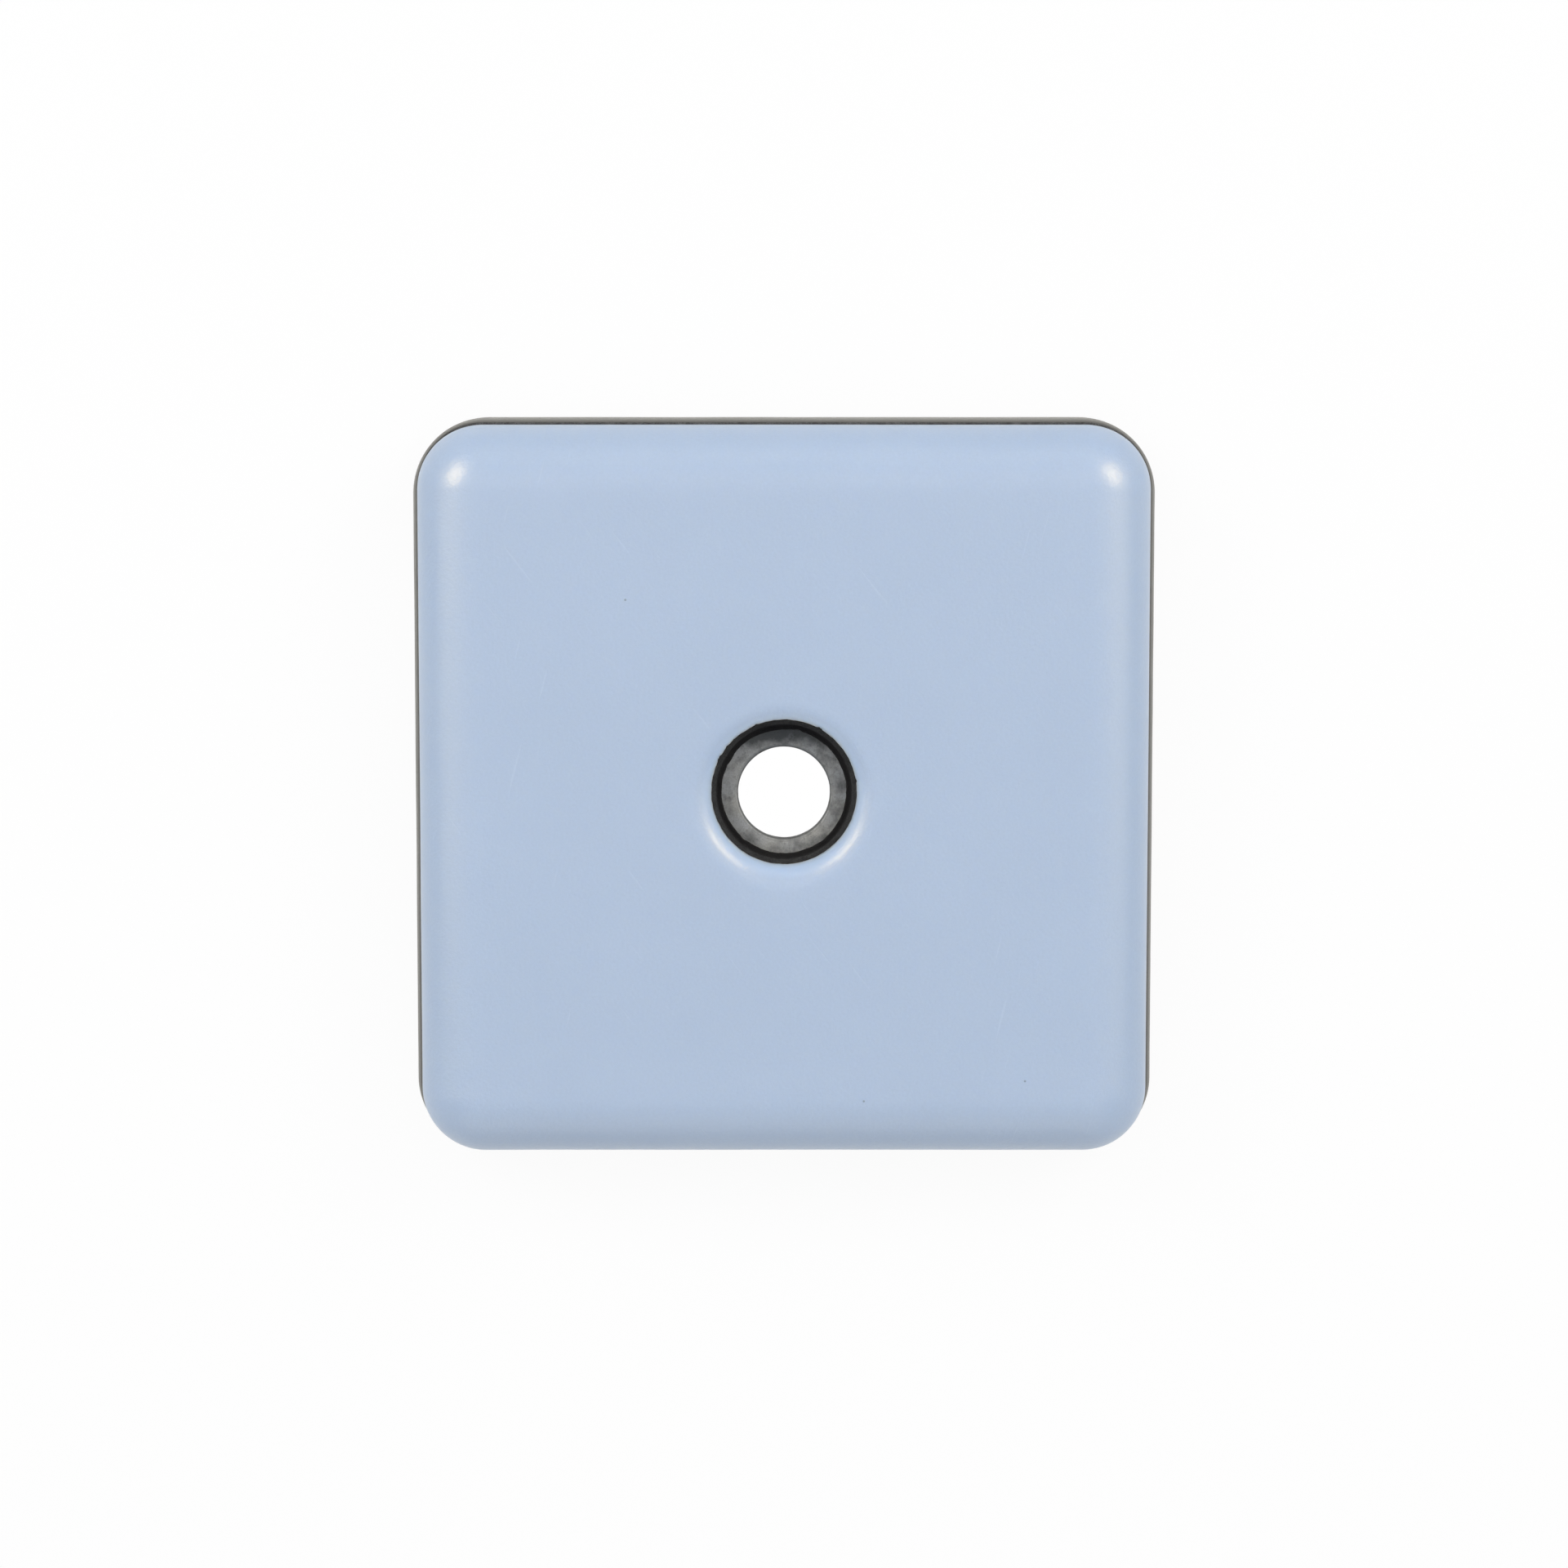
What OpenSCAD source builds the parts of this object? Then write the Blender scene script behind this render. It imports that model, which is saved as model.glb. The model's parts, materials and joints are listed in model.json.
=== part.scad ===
// Screw-on furniture slider: a slick formed cap over a rubber core, with a steel washer
// moulded in for the screw head and a soft base against the furniture leg.
// The fixing face lies on z = 0 and the sliding face looks up.

/* [Overall] */
// Side of the square base
base_w = 30; // [24:0.5:60]
// Height from the fixing face to the sliding face
total_h = 5; // [4.6:0.1:8]

/* [Sliding cap] */
// Step from the base's edge in to the cap's side wall
cap_step = 0.28; // [0.2:0.02:0.8]
// Thickness of the formed sheet
cap_wall = 0.8; // [0.5:0.05:1]
// Radius of the corners, and of the roll from the face into the sides
corner_r = 2.6; // [1.8:0.1:3.5]
// Diameter of the screw opening
opening_d = 5.8; // [5.6:0.1:8]
// Inside radius of the bend where the face rolls down into the opening
lip_bend_r = 0.35; // [0.1:0.05:0.6]
// Angle that the sheet has turned down by at its cut edge
lip_turn = 56; // [40:1:75]

/* [Rubber core] */
// Height of the band that shows between the cap's skirt and the base
band_h = 0.2; // [0.1:0.05:0.5]
// How far that band stands out past the cap's side wall
band_proud = 0.09; // [0.05:0.01:0.18]
// Glue line between the cap and the core
glue_gap = 0.05; // [0.02:0.01:0.1]
// Diameter at the foot of the tapered screw well
well_d = 5.4; // [5.2:0.1:5.7]
// Diameter of the washer's bare face, inside the rubber ring that laps over it
bare_d = 5; // [4.2:0.1:5.2]
// Thickness of that rubber ring
ring_t = 0.1; // [0.05:0.01:0.2]
// Diameter of the screw passage below the washer
passage_d = 4.6; // [4:0.1:6]

/* [Washer] */
// Depth of the washer's upper face below the sliding face
seat_depth = 1.6; // [1.4:0.1:2.4]
// Outer diameter of the washer
washer_d = 8; // [7:0.5:12]
// Hole for the screw
washer_bore = 3.7; // [3.2:0.1:4]
// Thickness of the washer
washer_t = 0.5; // [0.4:0.1:1]
// Round of the upper edges, left by punching
punch_r = 0.12; // [0.05:0.01:0.2]
// Clearance of the washer in its pocket
washer_fit = 0.03; // [0.01:0.01:0.1]

/* [Rubber base] */
// Thickness of the base
base_t = 1.3; // [0.8:0.1:2]
// Radius of the base's corners
base_corner_r = 3.05; // [2:0.05:4]
// Round of the base's upper edge
base_edge_r = 0.12; // [0.06:0.02:0.4]

/* [Hidden] */
$fn = 96;

// Overshoot of a cut past the face that it opens
cut_over = 1;

cap_w = base_w - 2 * cap_step;
skirt_z = base_t + band_h;
cap_h = total_h - skirt_z;
cavity_w = cap_w - 2 * cap_wall;
cavity_h = cap_h - cap_wall;
cavity_r = corner_r - cap_wall;

opening_r = opening_d / 2;
lip_r = lip_bend_r + cap_wall;
lip_start_r = opening_r + lip_r * sin(lip_turn);
lip_centre_z = total_h - lip_r;
lip_low_z = lip_centre_z + lip_bend_r * cos(lip_turn);

band_w = cap_w + 2 * band_proud;
band_r = corner_r + band_proud;
core_w = cavity_w - 2 * glue_gap;
core_h = cavity_h - glue_gap;
core_r = cavity_r - glue_gap;
lip_seat_z = lip_low_z - glue_gap;

washer_r = washer_d / 2;
washer_top_z = total_h - seat_depth;
washer_z = washer_top_z - washer_t;
pocket_top_z = washer_top_z + washer_fit;
ring_top_z = pocket_top_z + ring_t;

// Upright section from a block's inside out to its side, with the upper outer corner rolled
module rolled_section(depth, height, roll) {
    difference() {
        square([depth, height]);
        translate([depth - roll, height - roll])
            difference() {
                square(2 * roll);
                circle(roll);
            }
    }
}

// Square block with round corners, whose top rolls into its sides
module rolled_block(width, height, corner, roll) {
    run = width - 2 * corner;
    translate([-run / 2, -run / 2, 0])
        cube([run, run, height]);
    for (turn = [0 : 90 : 270])
        rotate(turn)
            translate([run / 2, 0, 0]) {
                rotate([90, 0, 0])
                    linear_extrude(run, center = true)
                        rolled_section(corner, height, roll);
                translate([0, run / 2, 0])
                    rotate_extrude(angle = 90)
                        rolled_section(corner, height, roll);
            }
}

// Square plate with round corners
module round_plate(width, height, corner) {
    linear_extrude(height)
        difference() {
            square(width, center = true);
            for (turn = [0 : 90 : 270])
                rotate(turn)
                    translate([width / 2 - corner, width / 2 - corner])
                        difference() {
                            square(2 * corner);
                            circle(corner);
                        }
        }
}

// Bend of the sheet, from the flat face down to its cut edge in the screw opening
module lip_section() {
    reach = 2 * lip_r;
    translate([lip_start_r, lip_centre_z])
        intersection() {
            difference() {
                circle(lip_r);
                circle(lip_bend_r);
            }
            polygon([
                [0, 0],
                [0, reach],
                [-reach, reach],
                [-reach * sin(lip_turn), reach * cos(lip_turn)]
            ]);
        }
}

// Half section of all that is cut from the core: passage, washer pocket, well and lip seat
module well_section() {
    polygon([
        [0, base_t - cut_over],
        [passage_d / 2, base_t - cut_over],
        [passage_d / 2, washer_z],
        [washer_r + washer_fit, washer_z],
        [washer_r + washer_fit, pocket_top_z],
        [bare_d / 2, pocket_top_z],
        [bare_d / 2, ring_top_z],
        [well_d / 2, ring_top_z],
        [opening_r, lip_seat_z],
        [lip_start_r, lip_seat_z],
        [lip_start_r, total_h],
        [0, total_h]
    ]);
}

// Ring of the washer in section, flat below and rounded on both upper edges
module washer_section() {
    half_w = (washer_r - washer_bore / 2) / 2;
    translate([washer_r - half_w, washer_z])
        for (side = [0, 1])
            mirror([side, 0])
                rolled_section(half_w, washer_t, punch_r);
}

module rubber_base() {
    color([0.59, 0.59, 0.57])
        difference() {
            rolled_block(base_w, base_t, base_corner_r, base_edge_r);
            translate([0, 0, -cut_over])
                cylinder(d = passage_d, h = base_t + 2 * cut_over);
        }
}

module rubber_core() {
    color([0.09, 0.09, 0.09])
        difference() {
            union() {
                translate([0, 0, base_t])
                    round_plate(band_w, band_h, band_r);
                translate([0, 0, skirt_z])
                    rolled_block(core_w, core_h, core_r, core_r);
            }
            rotate_extrude()
                well_section();
        }
}

module screw_washer() {
    color([0.52, 0.53, 0.52])
        rotate_extrude()
            washer_section();
}

module sliding_cap() {
    color([0.70, 0.77, 0.86]) {
        difference() {
            translate([0, 0, skirt_z])
                difference() {
                    rolled_block(cap_w, cap_h, corner_r, corner_r);
                    rolled_block(cavity_w, cavity_h, cavity_r, cavity_r);
                }
            translate([0, 0, skirt_z])
                cylinder(r = lip_start_r, h = cap_h + cut_over);
        }
        rotate_extrude()
            lip_section();
    }
}

rubber_base();
rubber_core();
screw_washer();
sliding_cap();
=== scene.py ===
"""Screw-on furniture slider, dressed over its CAD frame.

Each piece is a closed section, swept once round the screw axis by one Geometry Nodes tree: in circles
near the screw hole and in rounded squares further out. Finishes are procedural, in metres. The stage
is a white floor under two soft lamps and faint reflectors, seen from almost straight above.
"""

import json
import math
from collections import namedtuple

import bpy
from bpy.props import FloatProperty, FloatVectorProperty, PointerProperty
from bpy.types import NodeSocket, Operator, Panel, PropertyGroup
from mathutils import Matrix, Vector


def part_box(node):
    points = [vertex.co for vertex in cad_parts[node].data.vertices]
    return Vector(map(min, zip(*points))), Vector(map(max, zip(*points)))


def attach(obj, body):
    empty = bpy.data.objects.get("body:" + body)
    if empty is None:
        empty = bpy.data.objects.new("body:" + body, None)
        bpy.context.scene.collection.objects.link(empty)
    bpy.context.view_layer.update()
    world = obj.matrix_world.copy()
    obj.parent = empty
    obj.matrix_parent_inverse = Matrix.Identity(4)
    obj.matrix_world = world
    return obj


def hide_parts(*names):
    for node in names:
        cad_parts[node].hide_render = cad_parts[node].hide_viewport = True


bl_info = {
    "name": "Furniture slider",
    "version": (1, 0, 0),
    "blender": (4, 5, 0),
    "location": "View3D > Sidebar > Slider",
    "description": "Builds a screw-on furniture slider piece by piece, with its finishes and stage",
    "category": "Add Mesh",
}

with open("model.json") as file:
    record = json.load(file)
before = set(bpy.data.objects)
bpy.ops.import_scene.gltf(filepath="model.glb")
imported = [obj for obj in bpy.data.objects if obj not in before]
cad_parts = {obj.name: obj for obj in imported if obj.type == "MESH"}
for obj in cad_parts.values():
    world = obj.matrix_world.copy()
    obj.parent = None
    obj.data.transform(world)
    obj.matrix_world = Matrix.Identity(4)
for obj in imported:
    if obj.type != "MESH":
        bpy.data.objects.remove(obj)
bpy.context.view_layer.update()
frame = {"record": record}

MM = 0.001
X, Y, Z = 0, 1, 2
BODY = "root"
BASE_NODE = "rubber_base"
CORE_NODE = "rubber_core"
WASHER_NODE = "screw_washer"
CAP_NODE = "sliding_cap"

# Furthest that a straight piece of an arc may cut inside the true curve
ARC_TOLERANCE = 0.002 * MM
# Sharpest fold that is still shaded as one smooth surface
SMOOTH_FOLD = math.radians(35)
# Points closer than this are one point, as at the pole of each rounded corner
WELD_DISTANCE = 0.0005 * MM
# Lanes of faces that a sweep has all round, and the part of the turn whose lanes go round each corner
LANES = 320
CORNER_SHARE = math.radians(34)
# Range that noise mostly stays in
NOISE_RANGE = (0.3, 0.7)


def extent(node, axis):
    """Size of a CAD node along one axis."""
    low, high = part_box(node)
    return high[axis] - low[axis]


def bottom(node):
    """Height of a CAD node's lowest point."""
    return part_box(node)[0][Z]


def top(node):
    """Height of a CAD node's highest point."""
    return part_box(node)[1][Z]


def mount_radius(name):
    """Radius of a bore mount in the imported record."""
    mount = next(mount for mount in frame["record"]["mounts"] if mount["name"] == name)
    return mount["dims"]["r_mm"] * MM


def length(name, description, default):
    """Length property in metres."""
    return FloatProperty(
        name=name, description=description, default=default, min=0, unit="LENGTH", precision=5)


def share(name, description, default):
    """Property that runs from none to all."""
    return FloatProperty(
        name=name, description=description, default=default, min=0, max=1, subtype="FACTOR")


def degrees(name, description, default):
    """Angle property, whose default is given in degrees."""
    return FloatProperty(
        name=name, description=description, default=math.radians(default), subtype="ANGLE")


def watts(name, description, default):
    """Lamp power property."""
    return FloatProperty(name=name, description=description, default=default, unit="POWER")


def colour(name, description, default):
    """Linear colour property."""
    return FloatVectorProperty(
        name=name, description=description, default=default, min=0, max=1, subtype="COLOR")


class SliderSizes(PropertyGroup):
    """Sizes of the four pieces."""

    base_width: length("Base width", "Side of the square base", extent(BASE_NODE, X))
    base_thickness: length("Base thickness", "Thickness of the base", extent(BASE_NODE, Z))
    base_corner: length("Base corner", "Radius of the base's corners", 3.05 * MM)
    base_edge: length("Base edge", "Round of the base's upper edge", 0.12 * MM)

    cap_width: length("Cap width", "Side of the square cap", extent(CAP_NODE, X))
    cap_top: length("Cap top", "Height of the sliding face", top(CAP_NODE))
    skirt_height: length("Skirt height", "Height of the cap's lower edge", bottom(CAP_NODE))
    cap_corner: length("Cap corner", "Radius of the cap's corners and of its rolled edge", 2.6 * MM)
    sheet: length("Sheet", "Thickness of the cap's sheet", 0.8 * MM)
    sheet_edge: length("Sheet edge", "Round of the sheet's cut edge", 0.08 * MM)
    opening: length("Opening", "Diameter of the screw opening", 5.8 * MM)
    lip_bend: length("Lip bend", "Inside radius of the bend into the opening", 0.35 * MM)
    lip_turn: degrees("Lip turn", "Angle that the sheet has turned down by at its cut edge", 56)
    lip_lean: share(
        "Lip lean", "Part of the lip's turn that it loses on one side and gains on the other", 0.22)
    well_shift: length("Well shift", "How far the screw well lies off the washer's middle", 0.06 * MM)

    band_width: length("Band width", "Side of the core's band below the skirt", extent(CORE_NODE, X))
    glue_gap: length("Glue gap", "Glue line between the cap and the core", 0.05 * MM)
    well_foot: length("Well foot", "Diameter at the foot of the screw well", 5.4 * MM)
    bare_face: length("Bare face", "Diameter of the washer's bare face", 5.0 * MM)
    ring_thickness: length("Ring thickness", "Rubber that laps over the washer", 0.1 * MM)
    passage: length("Passage", "Diameter of the screw passage below the washer", 4.6 * MM)

    washer_width: length("Washer width", "Outer diameter of the washer", extent(WASHER_NODE, X))
    washer_bore: length("Washer bore", "Diameter of the screw hole", 2 * mount_radius("screw_hole"))
    washer_bottom: length("Washer bottom", "Height of the washer's underside", bottom(WASHER_NODE))
    washer_top: length("Washer top", "Height of the washer's upper face", top(WASHER_NODE))
    washer_fit: length("Washer fit", "Clearance of the washer in its pocket", 0.03 * MM)
    punch_round: length("Punch round", "Round of the washer's upper edges", 0.12 * MM)


class SliderColours(PropertyGroup):
    """Main colours of the finishes."""

    sheet: colour("Sheet", "Slick sheet of the cap", (0.430, 0.534, 0.695))
    black_rubber: colour("Black rubber", "Core", (0.005, 0.005, 0.006))
    # Dust colour, also used for painted light on the screw well's upper wall
    rubber_dust_and_light: colour("Rubber dust", "Chalky bloom on the core's cut faces", (0.112, 0.113, 0.112))
    zinc: colour("Zinc", "Washer's plating", (0.288, 0.309, 0.336))
    warm_zinc: colour("Warm zinc", "Yellowed places of the plating", (0.306, 0.315, 0.316))
    # Tarnish colour, also used for painted shade on the washer
    tarnish: colour("Tarnish", "Dull patches of the plating", (0.093, 0.099, 0.105))
    grey_rubber: colour("Grey rubber", "Base", (0.31, 0.305, 0.285))
    paper: colour("Paper", "Floor", (0.55, 0.55, 0.55))
    lamp: colour("Lamp", "Light of the lamps", (1.0, 1.0, 1.0))
    glint: colour("Glint", "Light that the lamps show to gloss alone", (1.0, 0.87, 0.68))


class SliderStage(PropertyGroup):
    """Camera, lamps and surroundings."""

    lens: FloatProperty(name="Lens", description="Focal length", default=93.75, unit="CAMERA")
    distance: length("Distance", "Camera to the middle of the base", 167.6 * MM)
    tilt: degrees("Tilt", "Lean of the view from straight down", 5.87)
    lamp_distance: length("Lamp distance", "Lamps to the slider", 0.22)
    lamp_width: length("Lamp width", "Width of each lamp", 0.118)
    lamp_depth: length("Lamp depth", "Height of each lamp's window", 0.078)
    lamp_height: degrees("Lamp height", "Elevation of the lamps above the floor", 35)
    lamp_spread: degrees("Lamp spread", "Angle of each lamp from the picture's upright", 54.5)
    lamp_power: watts("Lamp power", "Power of each lamp", 0.13)
    glint_power: watts("Glint power", "Power that each lamp shows to gloss alone", 0.43)
    side_width: length("Side width", "Width of the faint reflector on each side", 0.16)
    side_depth: length("Side depth", "Height of all the faint reflectors", 0.19)
    side_height: degrees("Side height", "Elevation of all the faint reflectors above the floor", 33.5)
    side_spread: degrees("Side spread", "Angle of each side reflector from the picture's upright", 80)
    side_power: watts("Side power", "Power of each side reflector, which only gloss shows", 0.244)
    front_width: length("Front width", "Width of the faint reflector in front", 0.32)
    front_power: watts("Front power", "Power of the front reflector, which only gloss shows", 0.20)
    back_power: watts("Back power", "Power of the back reflector, which only gloss shows", 0.10)
    horizon: share("Horizon", "Brightness of the soft light from low all round", 0.535)
    zenith: share("Zenith", "Brightness of the soft light from straight above", 0.91)
    overhead: share("Overhead", "Brightness of the patch overhead that gloss shows", 0.1)
    floor_glow: share("Floor glow", "Part of the floor's white that shadows leave untouched", 0.875)
    floor_width: length("Floor width", "Side of the floor", 6.0)


# Corner of a section: distance from the screw axis, height, rounding radius, and how many straight
# pieces lead from it to the next corner
Corner = namedtuple("Corner", "distance height radius pieces", defaults=(0.0, 1))

# How a ring departs from its true shape: the ragged edge's place and reach, how far it wobbles, how deep
# its rare bites are, how long a nick is, the height and length of the surface's waves, and a seed
Wear = namedtuple(
    "Wear", "edge_radius edge_height edge_reach raggedness bite nick wave_height wave_length seed")

# How a ring's inside lies off the screw axis: how far it is shifted towards +Y, the centre of a lip's bend,
# and the part of the bend's turn that is lost on that side and gained on the other
Lean = namedtuple("Lean", "shift bend_radius bend_height turn_change", defaults=(0.0, 0.0, 0.0, 0.0))


def arc_points(before, corner, after):
    """Points of the round that replaces one corner of a section."""
    here = Vector((corner.distance, corner.height))
    back = (Vector((before.distance, before.height)) - here).normalized()
    ahead = (Vector((after.distance, after.height)) - here).normalized()
    if corner.radius == 0:
        return [here]
    half_angle = back.angle(ahead) / 2
    centre = here + (back + ahead).normalized() * corner.radius / math.sin(half_angle)
    first = here + back * corner.radius / math.tan(half_angle) - centre
    last = here + ahead * corner.radius / math.tan(half_angle) - centre
    turn = math.atan2(first.cross(last), first.dot(last))
    finest = 2 * math.acos(1 - ARC_TOLERANCE / corner.radius)
    steps = math.ceil(abs(turn) / finest)
    start = math.atan2(first.y, first.x)
    angles = [start + turn * step / steps for step in range(steps + 1)]
    return [centre + corner.radius * Vector((math.cos(angle), math.sin(angle))) for angle in angles]


def section_points(corners):
    """Closed outline of a section, clockwise, with its corners rounded and its long runs cut up."""
    points = []
    rounds = [arc_points(corners[i - 1], corner, corners[(i + 1) % len(corners)])
              for i, corner in enumerate(corners)]
    for i, corner in enumerate(corners):
        start = rounds[i][-1]
        end = rounds[(i + 1) % len(corners)][0]
        points += rounds[i]
        points += [start.lerp(end, piece / corner.pieces) for piece in range(1, corner.pieces)]
        if (end - start).length < WELD_DISTANCE:
            points.pop()
    return points


def add_object(name, data):
    """New object in the scene."""
    added = bpy.data.objects.new(name, data)
    bpy.context.scene.collection.objects.link(added)
    return added


def section_object(name, corners):
    """Curve object that holds a section, distance along X and height along Y."""
    points = section_points(corners)
    curve = bpy.data.curves.new(name, "CURVE")
    curve.dimensions = "3D"
    spline = curve.splines.new("POLY")
    spline.points.add(len(points) - 1)
    for spot, point in zip(spline.points, points):
        spot.co = (point.x, point.y, 0, 1)
    spline.use_cyclic_u = True
    return add_object(name, curve)


class Graph:
    """Adds nodes to one tree and wires each as it is made."""

    def __init__(self, tree):
        self.tree = tree

    def node(self, kind, inputs=None, **settings):
        """New node, with its settings, and with values or links on its inputs."""
        node = self.tree.nodes.new(kind)
        for name, value in settings.items():
            setattr(node, name, value)
        for key, value in (inputs or {}).items():
            self.feed(node.inputs[key], value)
        return node

    def feed(self, socket, value):
        """Links a socket to another, or sets its value."""
        if isinstance(value, NodeSocket):
            self.tree.links.new(value, socket)
        else:
            socket.default_value = value

    def out(self, kind, inputs=None, output=0, **settings):
        """One output of a new node."""
        return self.node(kind, inputs, **settings).outputs[output]

    def math(self, operation, *values):
        """Result of a Math node."""
        return self.out("ShaderNodeMath", dict(enumerate(values)), operation=operation)

    def times(self, first, second):
        """Product of two numbers."""
        return self.math("MULTIPLY", first, second)

    def vector_math(self, operation, *values, output="Vector"):
        """Result of a Vector Math node."""
        return self.out("ShaderNodeVectorMath", dict(enumerate(values)), output, operation=operation)

    def vector(self, x=0.0, y=0.0, z=0.0):
        """Vector put together from three numbers."""
        return self.out("ShaderNodeCombineXYZ", {"X": x, "Y": y, "Z": z})

    def scaled(self, vector, factor):
        """Vector times a number."""
        return self.out("ShaderNodeVectorMath", {0: vector, "Scale": factor}, operation="SCALE")

    def length_of(self, vector):
        """Length of a vector."""
        return self.vector_math("LENGTH", vector, output="Value")

    def coordinate(self, vector, axis):
        """One coordinate of a vector."""
        return self.node("ShaderNodeSeparateXYZ", {"Vector": vector}).outputs[axis]

    def fade(self, value, start, end, first=0.0, last=1.0):
        """Value brought from one range to another and held at its ends."""
        limits = {"From Min": start, "From Max": end, "To Min": first, "To Max": last}
        return self.out("ShaderNodeMapRange", {"Value": value, **limits})

    def spread(self, noise, first, last):
        """Noise brought from the range that it mostly stays in to another one."""
        return self.fade(noise, *NOISE_RANGE, first, last)

    def mean(self, first, second, part):
        """Mean of two values, in which the first has the given part."""
        first_part = self.times(first, part)
        return self.math("ADD", first_part, self.times(second, 1 - part))

    def noise(self, vector, size, detail=2.0, roughness=0.5, seed=0.0):
        """Noise from 0 to 1, whose features have the given size."""
        inputs = {"Vector": vector, "W": seed, "Detail": detail, "Roughness": roughness}
        inputs["Scale"] = self.math("DIVIDE", 1, size) if isinstance(size, NodeSocket) else 1 / size
        return self.out("ShaderNodeTexNoise", inputs, noise_dimensions="4D")

    def mix(self, factor, first, second):
        """Colour between two colours."""
        return self.out("ShaderNodeMix", {0: factor, 6: first, 7: second}, 2, data_type="RGBA")


def label(field):
    """Name that a field of the wear or the lean has among the ring tree's inputs."""
    return field.replace("_", " ").title()


RING_TREE = "Rounded square ring"
RING_INPUTS = {
    "Section": "Object",
    "Corner Centre": "Float",
    "Round Reach": "Float",
    "Corner Share": "Float",
    "Lanes": "Int",
    "Finish": "Material",
    **{label(field): "Float" for field in Wear._fields + Lean._fields},
}


def swept_ring(graph, given):
    """Sweeps the section in plain circles, at its true distances from the screw axis."""
    section = graph.out("GeometryNodeObjectInfo", {"Object": given["Section"]}, "Geometry")
    shift = graph.vector(graph.times(given["Corner Centre"], -1))
    # The sweep lays the section's Y along -Z, so it is turned over first
    profile = graph.out(
        "GeometryNodeTransform", {"Geometry": section, "Translation": shift, "Scale": (1, -1, 1)})
    round_path = {"Resolution": given["Lanes"], "Radius": given["Corner Centre"]}
    path = graph.out("GeometryNodeCurvePrimitiveCircle", round_path)
    return graph.out("GeometryNodeCurveToMesh", {"Curve": path, "Profile Curve": profile})


def squared_place(graph, given, distance, angle):
    """Place of a swept point in plan: on a circle near the axis and on a rounded square further out."""
    quarter = math.pi / 2
    side = graph.times(graph.math("ROUND", graph.math("DIVIDE", angle, quarter)), quarter)
    turn = graph.math("SUBTRACT", angle, side)
    limit = graph.math("SUBTRACT", quarter / 2, graph.times(given["Corner Share"], 0.5))
    lowest = graph.times(limit, -1)
    straight = graph.out("ShaderNodeClamp", {"Value": turn, "Min": lowest, "Max": limit})
    bend = graph.math("SUBTRACT", turn, straight)
    bend = graph.math("DIVIDE", graph.times(bend, quarter), given["Corner Share"])

    centre = given["Corner Centre"]
    beyond = graph.math("MAXIMUM", graph.math("SUBTRACT", distance, centre), 0)
    along = graph.times(graph.math("DIVIDE", straight, limit), centre)
    square_x = graph.math("MULTIPLY_ADD", graph.math("COSINE", bend), beyond, centre)
    square_y = graph.math("MULTIPLY_ADD", graph.math("SINE", bend), beyond, along)

    within = graph.math("MINIMUM", distance, given["Round Reach"])
    round_x = graph.times(graph.math("COSINE", turn), within)
    round_y = graph.times(graph.math("SINE", turn), within)

    blend = graph.fade(distance, given["Round Reach"], centre)
    circle = graph.vector(round_x, round_y)
    square = graph.vector(square_x, square_y)
    place = graph.out("ShaderNodeMix", {0: blend, 4: circle, 5: square}, 1, data_type="VECTOR")
    return graph.out("ShaderNodeVectorRotate", {"Vector": place, "Angle": side}, rotation_type="Z_AXIS")


def leant_lip(graph, given, distance, height, angle):
    """Distance and height of a point, as the lip's bend turns less on one side and more on the other."""
    inward = graph.math("MAXIMUM", graph.math("SUBTRACT", given["Bend Radius"], distance), 0)
    rise = graph.math("SUBTRACT", height, given["Bend Height"])
    turn = graph.math("ARCTAN2", inward, rise)
    reach = graph.length_of(graph.vector(inward, rise))
    lost = graph.times(graph.math("SINE", angle), given["Turn Change"])
    turn = graph.times(turn, graph.math("SUBTRACT", 1, lost))
    in_bend = graph.math("GREATER_THAN", inward, 0)
    bent_inward = graph.times(graph.math("SINE", turn), reach)
    bent_distance = graph.math("SUBTRACT", given["Bend Radius"], bent_inward)
    bent_height = graph.math("MULTIPLY_ADD", graph.math("COSINE", turn), reach, given["Bend Height"])
    distance = graph.fade(in_bend, 0, 1, distance, bent_distance)
    height = graph.fade(in_bend, 0, 1, height, bent_height)
    return distance, height


# Ends of an edge's wobble in times its raggedness, which noise seldom comes near
WOBBLE = (-2, 2)
# Noise between which a ragged edge's bites grow to their full depth
BITTEN = (0.6, 0.72)
# Distance between the seeds of an edge's wobble and of its bites
BITE_SEED = 40


def ragged_push(graph, given, distance, height, outward):
    """Shift that tears an edge in and out, the same all down the edge and gone past its reach."""
    spot = graph.vector(distance, height)
    edge = graph.vector(given["Edge Radius"], given["Edge Height"])
    gap = graph.vector_math("DISTANCE", spot, edge, output="Value")
    weight = graph.fade(gap, 0, given["Edge Reach"], 1, 0)
    along = graph.scaled(outward, given["Edge Radius"])
    tear = graph.noise(along, given["Nick"], detail=4, roughness=0.65, seed=given["Seed"])
    wobble = graph.times(graph.fade(tear, 0, 1, *WOBBLE), given["Raggedness"])
    gnaw = graph.noise(along, given["Nick"], detail=3, seed=graph.math("ADD", given["Seed"], BITE_SEED))
    bitten = graph.fade(gnaw, *BITTEN)
    depth = graph.math("MULTIPLY_ADD", bitten, given["Bite"], wobble)
    return graph.scaled(outward, graph.times(depth, weight))


def smooth_but_folds(graph, geometry):
    """Shades a mesh smooth, apart from its folds."""
    smooth = graph.out("GeometryNodeSetShadeSmooth", {"Geometry": geometry}, domain="FACE")
    fold = graph.out("GeometryNodeInputMeshEdgeAngle", output="Unsigned Angle")
    sharp = graph.math("GREATER_THAN", fold, SMOOTH_FOLD)
    inputs = {"Geometry": smooth, "Selection": sharp, "Shade Smooth": False}
    return graph.out("GeometryNodeSetShadeSmooth", inputs, domain="EDGE")


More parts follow.
